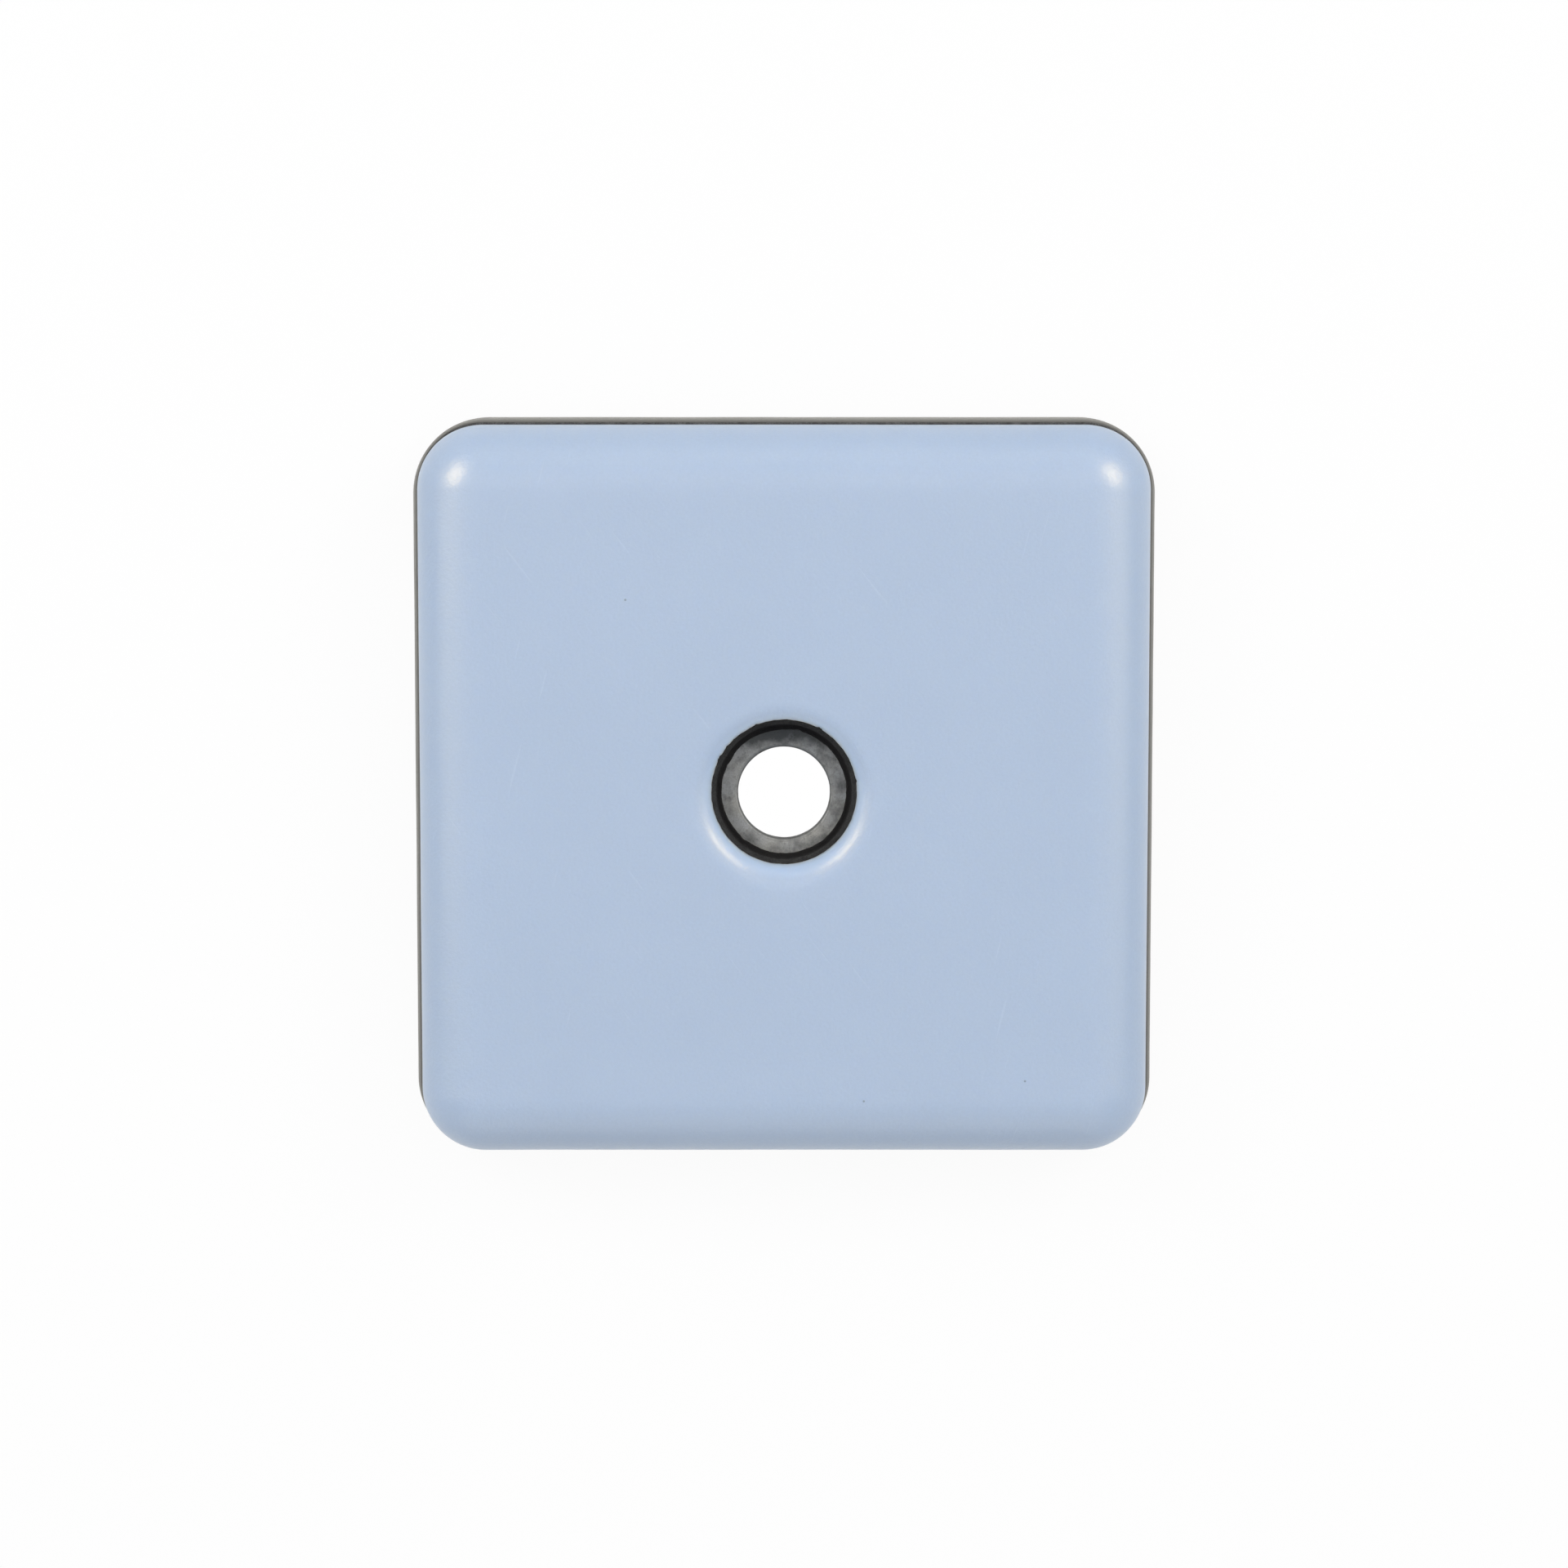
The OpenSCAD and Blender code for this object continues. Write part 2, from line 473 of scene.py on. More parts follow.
def ring_tree():
    """The one tree that sweeps a section round the screw axis into a finished piece."""
    if RING_TREE in bpy.data.node_groups:
        return bpy.data.node_groups[RING_TREE]
    tree = bpy.data.node_groups.new(RING_TREE, "GeometryNodeTree")
    for name, kind in RING_INPUTS.items():
        tree.interface.new_socket(name, in_out="INPUT", socket_type=f"NodeSocket{kind}")
    tree.interface.new_socket("Ring", in_out="OUTPUT", socket_type="NodeSocketGeometry")
    graph = Graph(tree)
    given = graph.node("NodeGroupInput").outputs

    ring = swept_ring(graph, given)
    position = graph.out("GeometryNodeInputPosition")
    across, deep, height = graph.node("ShaderNodeSeparateXYZ", {"Vector": position}).outputs
    plan = graph.vector(across, deep)
    distance = graph.length_of(plan)
    angle = graph.math("ARCTAN2", deep, across)
    outward = graph.vector_math("NORMALIZE", plan)
    push = ragged_push(graph, given, distance, height, outward)
    distance, height = leant_lip(graph, given, distance, height, angle)
    place = squared_place(graph, given, distance, angle)
    inside = graph.fade(distance, given["Round Reach"], given["Corner Centre"], 1, 0)
    aside = graph.times(inside, given["Shift"])
    place = graph.vector_math("ADD", place, graph.vector(y=aside, z=height))
    place = graph.vector_math("ADD", place, push)
    ring = graph.out("GeometryNodeSetPosition", {"Geometry": ring, "Position": place})
    ring = graph.out("GeometryNodeMergeByDistance", {"Geometry": ring, "Distance": WELD_DISTANCE})

    wave = graph.noise(position, given["Wave Length"], detail=1, seed=given["Seed"])
    wave = graph.times(graph.fade(wave, 0, 1, -1, 1), given["Wave Height"])
    wave = graph.scaled(graph.out("GeometryNodeInputNormal"), wave)
    ring = graph.out("GeometryNodeSetPosition", {"Geometry": ring, "Offset": wave})

    ring = smooth_but_folds(graph, ring)
    ring = graph.out("GeometryNodeRealizeInstances", {"Geometry": ring})
    ring = graph.out("GeometryNodeSetMaterial", {"Geometry": ring, "Material": given["Finish"]})
    graph.node("NodeGroupOutput", {"Ring": ring})
    return tree


def volume(mesh):
    """Volume inside a closed mesh, below zero if its faces point inwards."""
    mesh.calc_loop_triangles()
    corners = ([mesh.vertices[i].co for i in triangle.vertices] for triangle in mesh.loop_triangles)
    return sum(a.dot(b.cross(c)) for a, b, c in corners) / 6


def make_ring(name, node, corners, corner_centre, round_reach, lanes, wear, finish, lean=Lean()):
    """Sweeps a section into a plain mesh piece that stands for a CAD node."""
    section = section_object(f"{name}_section", corners)
    piece = add_object(name, bpy.data.meshes.new(name))
    modifier = piece.modifiers.new("Ring", "NODES")
    modifier.node_group = ring_tree()
    values = {
        "Section": section,
        "Corner Centre": corner_centre,
        "Round Reach": round_reach,
        "Corner Share": CORNER_SHARE,
        "Lanes": lanes,
        "Finish": finish,
    }
    for field, value in (*wear._asdict().items(), *lean._asdict().items()):
        values[label(field)] = value
    for item in modifier.node_group.interface.items_tree:
        if item.in_out == "INPUT":
            modifier[item.identifier] = values[item.name]

    evaluated = piece.evaluated_get(bpy.context.evaluated_depsgraph_get())
    mesh = bpy.data.meshes.new_from_object(evaluated)
    piece.modifiers.clear()
    piece.data = mesh
    mesh.name = name
    bpy.data.objects.remove(section)
    if volume(mesh) <= 0:
        raise RuntimeError(f"{name} is empty or inside out")
    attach(piece, BODY)
    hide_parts(node)


def new_finish(name, shader_values):
    """Material with its node graph, its shader and its Object coordinates."""
    material = bpy.data.materials.new(name)
    material.use_nodes = True
    graph = Graph(material.node_tree)
    shader = material.node_tree.nodes["Principled BSDF"]
    for socket, value in shader_values.items():
        shader.inputs[socket].default_value = value
    place = graph.out("ShaderNodeTexCoord", output="Object")
    return material, graph, shader, place


def shade(rgb, factor):
    """Colour made darker or lighter, with its alpha."""
    return tuple(min(channel * factor, 1) for channel in rgb) + (1,)


def coat(graph, shader, base, rough, height, depth):
    """Gives a shader its colour, its roughness and a fine relief of the given real depth."""
    bump = graph.out("ShaderNodeBump", {"Height": height, "Distance": depth, "Strength": 1.0})
    for socket, value in (("Base Color", base), ("Roughness", rough), ("Normal", bump)):
        graph.feed(shader.inputs[socket], value)


# Hair scratches: how far their two sets are turned from the Y axis
STEEP_TURN = math.radians(14)
SLANTED_TURN = math.radians(-38)
# The size of their noise, how it is drawn out along Y and Z, and the noise between which they set in
HAIR_SIZE = 0.10 * MM
HAIR_STRETCH = (1, 0.04, 0.05)
SCRATCHED = (0.76, 0.80)
# The size of the patches that have them, and the noise between which a patch sets in
PATCH_SIZE = 4 * MM
PATCHED = (0.56, 0.64)
# Their colour and how strongly it shows, how much duller they are, and how deep
HAIR_COLOUR = (0.80, 0.87, 0.95, 1)
HAIR_STRENGTH = 0.08
HAIR_DULLING = 0.12
HAIR_DEPTH = 0.2


def scratches(graph, place, angle, seed):
    """Sparse hair scratches along one direction, 1 in a scratch and 0 beside it."""
    turned = graph.out("ShaderNodeMapping", {"Vector": place, "Rotation": (0, 0, angle)})
    drawn = graph.vector_math("MULTIPLY", turned, HAIR_STRETCH)
    line = graph.noise(drawn, HAIR_SIZE, detail=0, seed=seed)
    patch = graph.noise(place, PATCH_SIZE, detail=1, seed=seed + 1)
    return graph.times(graph.fade(line, *SCRATCHED), graph.fade(patch, *PATCHED))


# Specks: the space for each, their radius and that of their full tone, and the share of spaces with one
SPECK_SPACE = 3.2 * MM
SPECK_RADIUS = 0.055 * MM
SPECK_MIDDLE = 0.6 * SPECK_RADIUS
SPECK_SHARE = 0.06
# How strongly their tone shows, and that tone
SPECK_STRENGTH = 0.6
SPECK_TONE = 0.35


def specks(graph, place):
    """Scattered round specks, one at most in each space, 1 in a speck and 0 beside it."""
    cells = graph.node(
        "ShaderNodeTexVoronoi", {"Vector": place, "Scale": 1 / SPECK_SPACE}, voronoi_dimensions="2D")
    spot = graph.fade(
        cells.outputs["Distance"], SPECK_MIDDLE / SPECK_SPACE, SPECK_RADIUS / SPECK_SPACE, 1, 0)
    draw = graph.node("ShaderNodeSeparateColor", {"Color": cells.outputs["Color"]}).outputs[0]
    return graph.times(spot, graph.math("LESS_THAN", draw, SPECK_SHARE))


# Sheet: its darkest and lightest tone, and the clouds' part in that
SHEET_TONES = (0.93, 1.07)
SHEET_CLOUDS = 0.25
# Lip: painted light that lifts the shade of its bend; how far from its edge the sheet is painted paler, and
# its tone at the edge
LIP_LIGHT_REACH = 0.45 * MM
LIP_LIGHT_TONE = 1.2
# Lip: how far from its edge its streaks are full and where they end, how deep they are, and the sizes of
# their noise and of the circle that it is read round
STREAK_FULL = 0.8 * MM
STREAK_END = 1.1 * MM
STREAK_DEPTH = 0.4
STREAK_SIZE = 0.05 * MM
STREAK_CIRCLE = 0.15 * MM
# Roughness of the rolled sides (the denoiser makes them patchy below 0.275), what the flat face adds to it,
# and how far below the top that begins and is full
ROLL_ROUGHNESS = (0.285, 0.335)
FACE_DULLING = 0.30
FACE_START = 0.16 * MM
FACE_FULL = 0.01 * MM
SHEET_RELIEF = 0.018 * MM


def sheet_finish(colours, sizes):
    """Waxy slick sheet: soft clouds, a fine grain, hair scratches and specks, painted light on the lip,
    dull on its flat face.
    """
    material, graph, shader, place = new_finish("slick_sheet", {
        "IOR": 1.45,
        "Specular Tint": (1.0, 0.83, 0.45, 1.0),
        "Subsurface Weight": 1.0,
        "Subsurface Radius": (0.8, 0.9, 1.0),
        "Subsurface Scale": 0.5 * MM,
    })
    cloud = graph.noise(place, size=5 * MM, detail=3, seed=1)
    grain = graph.noise(place, size=0.10 * MM, detail=2, roughness=0.6, seed=2)
    dimples = graph.noise(place, size=0.15 * MM, detail=3, roughness=0.6, seed=3)
    steep = scratches(graph, place, STEEP_TURN, seed=5)
    slanted = scratches(graph, place, SLANTED_TURN, seed=8)
    hairs = graph.math("MAXIMUM", steep, slanted)
    dots = graph.times(specks(graph, place), SPECK_STRENGTH)
    plan = graph.vector_math("MULTIPLY", place, (1, 1, 0))
    distance = graph.length_of(plan)
    opening = sizes.opening / 2

    darkest, lightest = (shade(colours.sheet, tone) for tone in SHEET_TONES)
    base = graph.mix(graph.mean(cloud, grain, SHEET_CLOUDS), darkest, lightest)
    base = graph.mix(graph.times(hairs, HAIR_STRENGTH), base, HAIR_COLOUR)
    base = graph.mix(dots, base, shade(colours.sheet, SPECK_TONE))
    # Painted light: the sheet is paler towards the lip's edge, against the shade where it bends into the
    # opening
    lip_light = graph.fade(distance, opening, opening + LIP_LIGHT_REACH, 1, 0)
    base = graph.mix(lip_light, base, shade(colours.sheet, LIP_LIGHT_TONE))

    height = graph.coordinate(place, Z)
    face = graph.fade(height, sizes.cap_top - FACE_START, sizes.cap_top - FACE_FULL)
    rough = graph.math("MULTIPLY_ADD", face, FACE_DULLING, graph.spread(cloud, *ROLL_ROUGHNESS))
    rough = graph.math("MULTIPLY_ADD", hairs, HAIR_DULLING, rough)

    around = graph.scaled(graph.vector_math("NORMALIZE", plan), STREAK_CIRCLE)
    course = graph.vector_math("ADD", around, graph.vector(z=distance))
    drawn = graph.noise(course, STREAK_SIZE, seed=4)
    lip = graph.fade(distance, opening + STREAK_FULL, opening + STREAK_END, STREAK_DEPTH, 0)
    dents = graph.math("MULTIPLY_ADD", drawn, lip, dimples)
    dents = graph.math("SUBTRACT", dents, graph.times(hairs, HAIR_DEPTH))
    coat(graph, shader, base, rough, dents, SHEET_RELIEF)
    return material


# Chalky dust on the core, partly painted light and shade: almost none on the ring that laps over the washer
# deep in the screw well, as painted shade, and much on the well's wall higher up, partly as painted light
RING_DUST_AND_SHADE = 0.01
WALL_DUST_AND_LIGHT = 0.45
# Heights above the ring between which the wall's dust sets in
WALL_START, WALL_FULL = 0.01 * MM, 0.10 * MM
# Height above the skirt's edge where the band's dust ends
BAND_END = 0.1 * MM
# Dust in broad patches and in fine crumbs: the noise between which it grows, and from what to what
DUST_PATCHES = (0.3, 0.6, 0.3, 1)
DUST_CRUMBS = (0.3, 0.65, 0.4, 1.15)
CORE_ROUGHNESS = (0.62, 0.85)
CORE_RELIEF = 0.03 * MM


def core_finish(colours, sizes):
    """Dull black rubber, chalky and painted lighter where its wall was punched, deep black as painted shade
    on the ring over the washer.
    """
    material, graph, shader, place = new_finish("black_rubber", {"Specular IOR Level": 0.12})
    height = graph.coordinate(place, Z)
    ring_top = sizes.washer_top + sizes.washer_fit + sizes.ring_thickness
    wall = graph.fade(height, ring_top + WALL_START, ring_top + WALL_FULL)
    band = graph.fade(height, sizes.skirt_height, sizes.skirt_height + BAND_END, 1, 0)
    # Painted light and shade: the well's wall higher up gets much dust, the deep ring almost none
    cut = graph.math("MAXIMUM", graph.fade(wall, 0, 1, RING_DUST_AND_SHADE, WALL_DUST_AND_LIGHT), band)
    chalk = graph.noise(place, size=0.35 * MM, detail=4, roughness=0.65, seed=11)
    crumbs = graph.noise(place, size=0.06 * MM, detail=2, seed=12)
    dust_and_light = graph.times(graph.fade(chalk, *DUST_PATCHES), cut)
    dust_and_light = graph.times(dust_and_light, graph.fade(crumbs, *DUST_CRUMBS))
    base = graph.mix(dust_and_light, shade(colours.black_rubber, 1), shade(colours.rubber_dust_and_light, 1))
    rough = graph.spread(chalk, *CORE_ROUGHNESS)
    coat(graph, shader, base, rough, graph.math("ADD", crumbs, chalk), CORE_RELIEF)
    return material


# Noise between which the plating turns yellow, and cloudiness between which it tarnishes
YELLOWED = (0.35, 0.65)
TARNISHED = (0.42, 0.74)
# Painted shadow at the back, where the well's wall shades the washer, and darker plating towards the front:
# where they begin and are full, in radii of the hole, and how cloudy they are
BACK_START, BACK_FULL, BACK_SHADOW = 0.95, 1.3, 0.40
FRONT_START, FRONT_FULL, FRONT_DARKENING = -0.6, -1.2, 0.08
# Wear round the hole: how far from it that is full and ends, and the cloudiness that it takes off
LIGHTER_RING_FULL, LIGHTER_RING_END, LIGHTER_RING = 0.15 * MM, 0.5 * MM, 0.08
# Lighter plating round the hole: how far from it that is full and ends, and the cloudiness that it takes
# off
EDGE_SHADE_FULL, EDGE_SHADE_END, EDGE_SHADE_TARNISH = 0.04 * MM, 0.16 * MM, 0.75
# Tarnish of the grit, noise between which pores set in and from what to what they show, and their tone
GRIT_TARNISH = 0.4
PORES = (0.58, 0.74, 0, 0.4)
PORE_TONE = 0.5
ZINC_ROUGHNESS = (0.60, 0.76)
ZINC_RELIEF = 0.008 * MM


def washer_finish(colours, sizes):
    """Dull zinc plating: cloudy and tarnished in patches, with painted shadow at its back and painted shade
    on the hole's rounded edge, darker towards its front and lighter round the hole.
    """
    material, graph, shader, place = new_finish("zinc_plating", {"Metallic": 1.0})
    cloud = graph.noise(place, size=0.55 * MM, detail=4, roughness=0.6, seed=21)
    drift = graph.noise(place, size=1.4 * MM, detail=1, seed=23)
    pores = graph.noise(place, size=0.09 * MM, detail=2, seed=22)
    grit = graph.noise(place, size=0.05 * MM, detail=2, roughness=0.6, seed=24)
    plan = graph.vector_math("MULTIPLY", place, (1, 1, 0))
    distance = graph.length_of(plan)
    side = graph.coordinate(place, Y)
    bore = sizes.washer_bore / 2
    tarnish = shade(colours.tarnish, 1)

    yellowed = graph.fade(drift, *YELLOWED)
    plating = graph.mix(yellowed, shade(colours.zinc, 1), shade(colours.warm_zinc, 1))
    # Painted shadow at the back, cast by the well's wall, and darker towards the front
    back = graph.fade(side, BACK_START * bore, BACK_FULL * bore, 0, BACK_SHADOW)
    front = graph.fade(side, FRONT_START * bore, FRONT_FULL * bore, 0, FRONT_DARKENING)
    # Lighter round the hole
    paler_ring = graph.fade(distance, bore + LIGHTER_RING_FULL, bore + LIGHTER_RING_END, LIGHTER_RING, 0)
    dull = graph.math("ADD", cloud, graph.math("ADD", back, front))
    dull = graph.fade(graph.math("SUBTRACT", dull, paler_ring), *TARNISHED)
    base = graph.mix(dull, plating, tarnish)
    # Painted shade on the hole's rounded edge
    edge_shade = graph.fade(distance, bore + EDGE_SHADE_FULL, bore + EDGE_SHADE_END, EDGE_SHADE_TARNISH, 0)
    base = graph.mix(edge_shade, base, tarnish)
    base = graph.mix(graph.spread(grit, 0, GRIT_TARNISH), base, tarnish)
    base = graph.mix(graph.fade(pores, *PORES), base, shade(colours.tarnish, PORE_TONE))
    rough = graph.spread(cloud, *ZINC_ROUGHNESS)
    coat(graph, shader, base, rough, graph.math("ADD", pores, cloud), ZINC_RELIEF)
    return material


# Painted crease shade on the base's ledge, partly smeared black rubber: its blackness right beside the
# core's band
LEDGE_SHADE_AND_SMEAR = 0.62


def ledge_shade_and_smear(graph, place, sizes):
    """How black the base's ledge is painted, as crease shade and smeared black rubber: most beside the
    core's band and none at the ledge's edge.
    """
    centre = sizes.cap_width / 2 - sizes.cap_corner
    beyond = graph.vector_math("SUBTRACT", graph.vector_math("ABSOLUTE", place), (centre, centre, 0))
    beyond = graph.vector_math("MAXIMUM", beyond, (0, 0, 0))
    beyond = graph.vector_math("MULTIPLY", beyond, (1, 1, 0))
    reach = graph.length_of(beyond)
    height = graph.coordinate(place, Z)
    on_ledge = graph.fade(height, sizes.base_thickness - sizes.base_edge, sizes.base_thickness)
    shade_and_smear = graph.fade(
        reach, sizes.band_width / 2 - centre, sizes.base_width / 2 - centre, LEDGE_SHADE_AND_SMEAR, 0)
    return graph.times(on_ledge, shade_and_smear)


# Base: its darkest and lightest tone, and the clouds' part in that
BASE_TONES = (0.72, 1.28)
BASE_CLOUDS = 0.4
BASE_ROUGHNESS = (0.7, 0.9)
BASE_RELIEF = 0.02 * MM


def base_finish(colours, sizes):
    """Grey rubber sheet with a fine mineral grain, with painted crease shade and smeared black beside the
    core's band.
    """
    material, graph, shader, place = new_finish("grey_rubber", {"Specular IOR Level": 0.4})
    cloud = graph.noise(place, size=2.2 * MM, detail=3, seed=31)
    grain = graph.noise(place, size=0.08 * MM, detail=3, roughness=0.7, seed=32)
    darkest, lightest = (shade(colours.grey_rubber, tone) for tone in BASE_TONES)
    base = graph.mix(graph.mean(cloud, grain, BASE_CLOUDS), darkest, lightest)
    # Painted crease shade, partly smeared black rubber, beside the core's band
    base = graph.mix(ledge_shade_and_smear(graph, place, sizes), base, shade(colours.black_rubber, 1))
    coat(graph, shader, base, graph.spread(grain, *BASE_ROUGHNESS), grain, BASE_RELIEF)
    return material


# Small rounds on edges that the CAD leaves sharp
BASE_ROUND = 0.06 * MM
RING_LOWER_ROUND = 0.02 * MM
RING_UPPER_ROUND = 0.04 * MM
WELL_ROUND = 0.07 * MM
BAND_ROUND = 0.04 * MM
WASHER_ROUND = 0.03 * MM
# How far out the base is swept in plain circles, in radii of its hole
BASE_CIRCLES = 1.2


class SLIDER_OT_base(Operator):
    """Cut the grey rubber base"""

    bl_idname = "slider.cut_base"
    bl_label = "Cut base"

    def execute(self, context):
        sizes = context.scene.slider_sizes
        half = sizes.base_width / 2
        hole = sizes.passage / 2
        corners = [
            Corner(hole, 0, pieces=3),
            Corner(hole, sizes.base_thickness, pieces=8),
            Corner(half, sizes.base_thickness, sizes.base_edge, pieces=3),
            Corner(half, 0, BASE_ROUND, pieces=8),
        ]
        wear = Wear(
            edge_radius=hole, edge_height=0, edge_reach=0.5 * MM, raggedness=0.01 * MM, bite=0,
            nick=0.6 * MM, wave_height=0.012 * MM, wave_length=3 * MM, seed=3)
        make_ring(
            "cut_base", BASE_NODE, corners, half - sizes.base_corner, BASE_CIRCLES * hole,
            LANES, wear, base_finish(context.scene.slider_colours, sizes))
        return {"FINISHED"}


# Bend of the lip: the radius of its outside, and its centre's distance from the screw axis and height
LipBend = namedtuple("LipBend", "outside distance height")


def lip_bend(sizes):
    """Bend that leads from the cap's face down to its cut edge in the screw opening."""
    outside = sizes.lip_bend + sizes.sheet
    distance = sizes.opening / 2 + outside * math.sin(sizes.lip_turn)
    return LipBend(outside, distance, sizes.cap_top - outside)


class SLIDER_OT_core(Operator):
    """Mould the black rubber core round its screw well"""

    bl_idname = "slider.mould_core"
    bl_label = "Mould core"

    def execute(self, context):
        sizes = context.scene.slider_sizes
        cap_half = sizes.cap_width / 2
        band_half = sizes.band_width / 2
        inset = sizes.sheet + sizes.glue_gap
        core_half = cap_half - inset
        core_top = sizes.cap_top - inset
        lip = lip_bend(sizes)
        lip_seat = lip.height + sizes.lip_bend * math.cos(sizes.lip_turn) - sizes.glue_gap
        pocket = sizes.washer_width / 2 + sizes.washer_fit
        pocket_top = sizes.washer_top + sizes.washer_fit
        ring_top = pocket_top + sizes.ring_thickness
        bare = sizes.bare_face / 2
        hole = sizes.passage / 2
        corners = [
            Corner(hole, sizes.base_thickness, pieces=4),
            Corner(hole, sizes.washer_bottom, pieces=2),
            Corner(pocket, sizes.washer_bottom),
            Corner(pocket, pocket_top, pieces=6),
            Corner(bare, pocket_top, RING_LOWER_ROUND),
            Corner(bare, ring_top, RING_UPPER_ROUND, pieces=3),
            Corner(sizes.well_foot / 2, ring_top, WELL_ROUND, pieces=6),
            Corner(sizes.opening / 2, lip_seat, pieces=2),
            Corner(lip.distance, lip_seat),
            Corner(lip.distance, core_top, pieces=6),
            Corner(core_half, core_top, sizes.cap_corner - inset),
            Corner(core_half, sizes.skirt_height),
            Corner(band_half, sizes.skirt_height, BAND_ROUND, pieces=2),
            Corner(band_half, sizes.base_thickness, pieces=8),
        ]
        wear = Wear(
            edge_radius=bare, edge_height=ring_top, edge_reach=0.28 * MM, raggedness=0.05 * MM,
            bite=0.08 * MM, nick=0.9 * MM, wave_height=0.008 * MM, wave_length=0.5 * MM, seed=7)
        make_ring(
            "moulded_core", CORE_NODE, corners, cap_half - sizes.cap_corner,
            lip.distance, LANES, wear, core_finish(context.scene.slider_colours, sizes),
            Lean(shift=sizes.well_shift))
        return {"FINISHED"}


class SLIDER_OT_washer(Operator):
    """Punch the zinc-plated washer"""

    bl_idname = "slider.punch_washer"
    bl_label = "Punch washer"

    def execute(self, context):
        sizes = context.scene.slider_sizes
        outside = sizes.washer_width / 2
        bore = sizes.washer_bore / 2
        corners = [
            Corner(bore, sizes.washer_bottom, WASHER_ROUND, pieces=2),
            Corner(bore, sizes.washer_top, sizes.punch_round, pieces=8),
            Corner(outside, sizes.washer_top, sizes.punch_round, pieces=2),
            Corner(outside, sizes.washer_bottom, WASHER_ROUND, pieces=4),
        ]
        wear = Wear(
            edge_radius=bore, edge_height=sizes.washer_bottom, edge_reach=0.4 * MM, raggedness=0.01 * MM,
            bite=0, nick=0.5 * MM, wave_height=0.006 * MM, wave_length=0.8 * MM, seed=5)
        # With its corners' centres far outside, the whole washer is swept in plain circles
        make_ring(
            "punched_washer", WASHER_NODE, corners, 2 * outside, outside,
            LANES // 2, wear, washer_finish(context.scene.slider_colours, sizes))
        return {"FINISHED"}


class SLIDER_OT_cap(Operator):
    """Form the slick cap, with its lip rolled into the screw opening"""

    bl_idname = "slider.form_cap"
    bl_label = "Form cap"

    def execute(self, context):
        sizes = context.scene.slider_sizes
        half = sizes.cap_width / 2
        inside = half - sizes.sheet
        opening = sizes.opening / 2
        turn = sizes.lip_turn
        lip = lip_bend(sizes)
        lip_edge = lip.height + lip.outside * math.cos(turn)
        lip_corner = lip.distance - lip.outside * math.tan(turn / 2)
        under_corner = lip.distance - sizes.lip_bend * math.tan(turn / 2)
        under = sizes.cap_top - sizes.sheet
        under_edge = lip.distance - sizes.lip_bend * math.sin(turn)
        under_height = lip.height + sizes.lip_bend * math.cos(turn)
        corners = [
            Corner(opening, lip_edge),
            Corner(lip_corner, sizes.cap_top, lip.outside, pieces=12),
            Corner(half, sizes.cap_top, sizes.cap_corner, pieces=4),
            Corner(half, sizes.skirt_height, sizes.sheet_edge, pieces=2),
            Corner(inside, sizes.skirt_height, sizes.sheet_edge, pieces=2),
            Corner(inside, under, sizes.cap_corner - sizes.sheet, pieces=4),
            Corner(under_corner, under, sizes.lip_bend),
            Corner(under_edge, under_height, pieces=3),
        ]
        wear = Wear(
            edge_radius=opening, edge_height=lip_edge, edge_reach=0.30 * MM, raggedness=0.02 * MM,
            bite=0.07 * MM, nick=0.4 * MM, wave_height=0.012 * MM, wave_length=7 * MM, seed=2)
        make_ring(
            "formed_cap", CAP_NODE, corners, half - sizes.cap_corner, lip.distance,
            LANES, wear, sheet_finish(context.scene.slider_colours, sizes),
            Lean(bend_radius=lip.distance, bend_height=lip.height, turn_change=sizes.lip_lean))
        return {"FINISHED"}


def background_seen(graph):
    """1 for the rays that show the background itself: from the camera, a mirror or glass."""
    rays = graph.node("ShaderNodeLightPath").outputs
    seen = graph.math("MAXIMUM", rays["Is Camera Ray"], rays["Is Glossy Ray"])
    return graph.math("MAXIMUM", seen, rays["Is Transmission Ray"])


# Strength of the floor's glow, a little over white to make up for the grey paper mixed in with it
FLOOR_WHITE = 1.05
# Darkest and lightest tone of the paper's fibres
FIBRE_TONES = (0.99, 1.01)


def floor_finish(colours, stage):
    """White paper that looks white where nothing shades it, and keeps part of a shadow."""
    material, graph, shader, place = new_finish(
        "paper_floor", {"Roughness": 1.0, "Specular IOR Level": 0.0})
    fibre = graph.noise(place, size=2 * MM, detail=3, seed=41)
    base = graph.mix(fibre, *(shade(colours.paper, tone) for tone in FIBRE_TONES))
    graph.feed(shader.inputs["Base Color"], base)
    glow = graph.out("ShaderNodeEmission", {"Color": (1, 1, 1, 1), "Strength": FLOOR_WHITE})
    part = graph.times(background_seen(graph), stage.floor_glow)
    blend = graph.out("ShaderNodeMixShader", {0: part, 1: shader.outputs["BSDF"], 2: glow})
    graph.feed(material.node_tree.nodes["Material Output"].inputs["Surface"], blend)
    return material


# Straight pieces in each round corner of the floor's cut-out
FLOOR_STEPS = 16


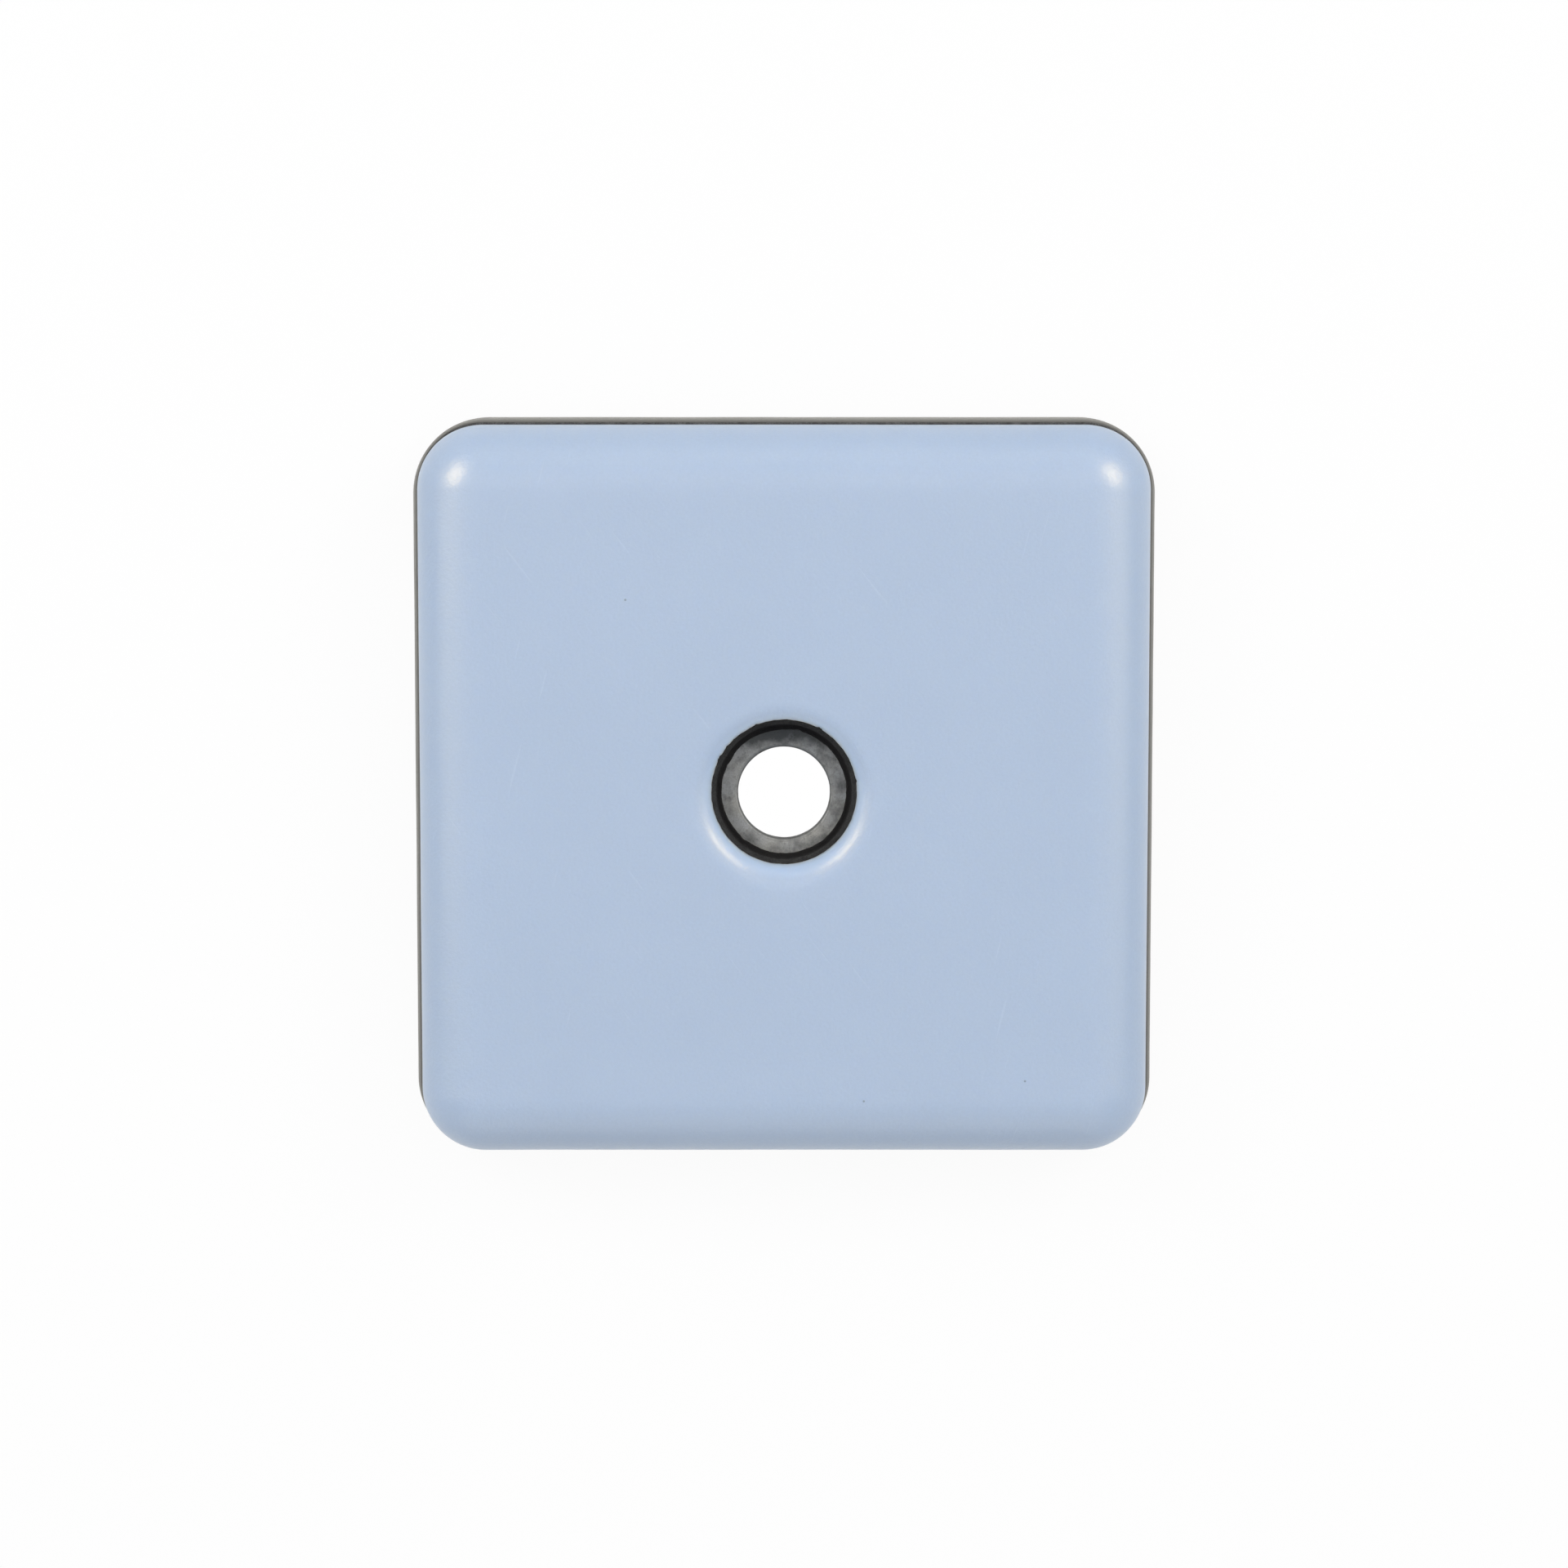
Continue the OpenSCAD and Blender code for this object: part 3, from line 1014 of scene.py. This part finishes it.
def make_floor(colours, sizes, stage):
    """Floor at the slider's fixing face, cut out below the base so that its underside can be seen."""
    centre = sizes.base_width / 2 - sizes.base_corner
    corner = sizes.base_corner
    cut_out = []
    for quarter, (side_x, side_y) in enumerate(((1, 1), (-1, 1), (-1, -1), (1, -1))):
        for step in range(FLOOR_STEPS + 1):
            angle = (quarter + step / FLOOR_STEPS) * math.pi / 2
            x = side_x * centre + corner * math.cos(angle)
            y = side_y * centre + corner * math.sin(angle)
            cut_out.append((x, y, 0))
    spread = stage.floor_width / sizes.base_width
    outline = [(x * spread, y * spread, z) for x, y, z in cut_out]
    count = len(cut_out)
    faces = [(i, count + i, count + (i + 1) % count, (i + 1) % count) for i in range(count)]
    mesh = bpy.data.meshes.new("floor")
    mesh.from_pydata(cut_out + outline, [], faces)
    mesh.materials.append(floor_finish(colours, stage))
    floor = add_object("floor", mesh)


# Sine of the elevations where the dark patch overhead begins and where it is darkest
OVERHEAD_EDGE = math.sin(math.radians(30))
OVERHEAD_MIDDLE = math.sin(math.radians(55))


def make_surround(stage):
    """White surroundings that light the slider softly, shown as white with a dark patch overhead."""
    world = bpy.data.worlds.new("surround")
    world.use_nodes = True
    graph = Graph(world.node_tree)
    direction = graph.out("ShaderNodeTexCoord", output="Generated")
    rise = graph.coordinate(direction, Z)
    shown = graph.fade(rise, OVERHEAD_EDGE, OVERHEAD_MIDDLE, 1, stage.overhead)
    soft = graph.fade(rise, 0, 1, stage.horizon, stage.zenith)
    background = world.node_tree.nodes["Background"]
    background.inputs["Color"].default_value = (1, 1, 1, 1)
    graph.feed(background.inputs["Strength"], graph.fade(background_seen(graph), 0, 1, soft, shown))
    bpy.context.scene.world = world


# Lamp window: angle from the picture's upright, elevation, width, height and power
Window = namedtuple("Window", "azimuth elevation width depth power")


def make_lamp(name, window, distance, rgb):
    """Soft box lamp, aimed at the slider."""
    lamp = bpy.data.lights.new(name, "AREA")
    lamp.shape = "RECTANGLE"
    lamp.size = window.width
    lamp.size_y = window.depth
    lamp.energy = window.power
    lamp.color = rgb
    holder = add_object(name, lamp)
    flat = math.cos(window.elevation)
    direction = Vector((
        flat * math.sin(window.azimuth), flat * math.cos(window.azimuth), math.sin(window.elevation)))
    holder.location = direction * distance
    holder.rotation_euler = direction.to_track_quat("Z", "Y").to_euler()
    holder.visible_camera = False
    return holder


def make_gloss_lamp(name, window, distance, rgb):
    """Lamp that only glossy surfaces show."""
    make_lamp(name, window, distance, rgb).visible_diffuse = False


def make_lamps(colours, stage):
    """A soft lamp on each side, brighter to gloss, and faint reflectors that only gloss shows."""
    distance = stage.lamp_distance
    for name, side in (("left", -1), ("right", 1)):
        soft = Window(
            side * stage.lamp_spread, stage.lamp_height, stage.lamp_width, stage.lamp_depth,
            stage.lamp_power)
        bright = soft._replace(power=stage.glint_power)
        faint = Window(
            side * stage.side_spread, stage.side_height, stage.side_width, stage.side_depth,
            stage.side_power)
        make_lamp(f"{name}_lamp", soft, distance, colours.lamp)
        make_gloss_lamp(f"{name}_glint", bright, distance, colours.glint)
        make_gloss_lamp(f"{name}_reflector", faint, distance, colours.lamp)
    front = faint._replace(azimuth=math.pi, width=stage.front_width, power=stage.front_power)
    back = faint._replace(azimuth=0, power=stage.back_power)
    make_gloss_lamp("front_reflector", front, distance, colours.lamp)
    make_gloss_lamp("back_reflector", back, distance, colours.lamp)


def make_camera(stage):
    """Camera that looks down on the slider, leaning a little."""
    camera = bpy.data.cameras.new("camera")
    camera.lens = stage.lens
    camera.clip_start = MM
    holder = add_object("camera", camera)
    holder.location = (0, stage.distance * math.sin(stage.tilt), stage.distance * math.cos(stage.tilt))
    holder.rotation_euler = (-stage.tilt, 0, 0)
    bpy.context.scene.camera = holder


class SLIDER_OT_stage(Operator):
    """Set up the floor, the surroundings, the lamps and the camera"""

    bl_idname = "slider.set_stage"
    bl_label = "Set stage"

    def execute(self, context):
        scene = context.scene
        stage = scene.slider_stage
        make_floor(scene.slider_colours, scene.slider_sizes, stage)
        make_surround(stage)
        make_lamps(scene.slider_colours, stage)
        make_camera(stage)
        scene.view_settings.view_transform = "Standard"
        return {"FINISHED"}


class SLIDER_PT_panel(Panel):
    """Sizes, colours and steps of the slider"""

    bl_label = "Furniture slider"
    bl_space_type = "VIEW_3D"
    bl_region_type = "UI"
    bl_category = "Slider"

    def draw(self, context):
        for group_name in GROUPS:
            group = getattr(context.scene, group_name)
            column = self.layout.column(heading=group.bl_rna.description)
            for name in group.__annotations__:
                column.prop(group, name)
        for operator in OPERATORS:
            self.layout.operator(operator.bl_idname)


GROUPS = {"slider_sizes": SliderSizes, "slider_colours": SliderColours, "slider_stage": SliderStage}
OPERATORS = (SLIDER_OT_base, SLIDER_OT_core, SLIDER_OT_washer, SLIDER_OT_cap, SLIDER_OT_stage)


def register():
    """Adds the slider's properties, operators and panel to Blender."""
    for group in GROUPS.values():
        bpy.utils.register_class(group)
    for operator in OPERATORS:
        bpy.utils.register_class(operator)
    bpy.utils.register_class(SLIDER_PT_panel)
    for name, group in GROUPS.items():
        setattr(bpy.types.Scene, name, PointerProperty(type=group))


def unregister():
    """Takes them out again."""
    for name in GROUPS:
        delattr(bpy.types.Scene, name)
    bpy.utils.unregister_class(SLIDER_PT_panel)
    for operator in reversed(OPERATORS):
        bpy.utils.unregister_class(operator)
    for group in reversed(GROUPS.values()):
        bpy.utils.unregister_class(group)


def main():
    """Builds the slider and its stage."""
    register()
    bpy.ops.slider.cut_base()
    bpy.ops.slider.mould_core()
    bpy.ops.slider.punch_washer()
    bpy.ops.slider.form_cap()
    bpy.ops.slider.set_stage()


if __name__ == "__main__":
    main()
